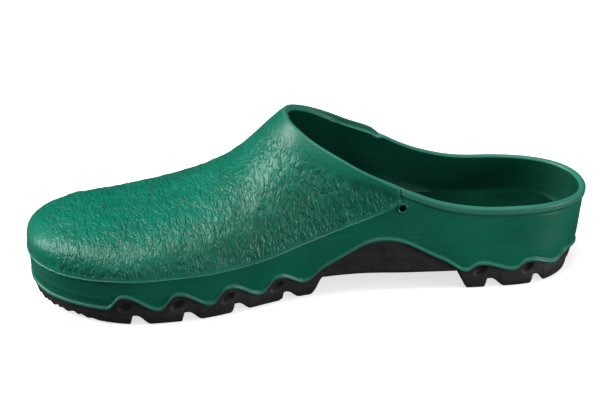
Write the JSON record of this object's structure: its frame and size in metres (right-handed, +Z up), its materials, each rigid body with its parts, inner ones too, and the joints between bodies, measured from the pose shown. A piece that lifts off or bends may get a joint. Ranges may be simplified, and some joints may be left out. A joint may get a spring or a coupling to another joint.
{
  "type": "garden clog",
  "caption": "Slip-on garden clog for the right foot: moulded upper with an open heel, lugged outsole with a wavy edge, and a loose footbed that lifts.",
  "frame": {"origin": "on the ground, in the middle of the clog's length and width", "axes": "+X towards the toe, +Y towards the inner (big toe) side of the right foot, +Z up"},
  "size_m": [0.29, 0.108, 0.085],
  "materials": {
    "upper_rubber": "green, semi-matte, leather-like grain on the vamp and smooth on the side band",
    "outsole_rubber": "charcoal black, matte",
    "footbed_foam": "dark green closed-cell foam",
    "cover_fabric": "dark green short-pile lining"
  },
  "bodies": {
    "shell": {"upper": "upper_rubber", "outsole": "outsole_rubber"},
    "loose_footbed": {"footbed": "footbed_foam", "footbed_cover": "cover_fabric"}
  },
  "joints": [
    {"name": "footbed_lift", "type": "hinge", "parent": "shell", "child": "loose_footbed", "pos_m": [0.136, 0.004, 0.027], "axis": [0, 1, 0], "range_deg": [0, 6]}
  ]
}
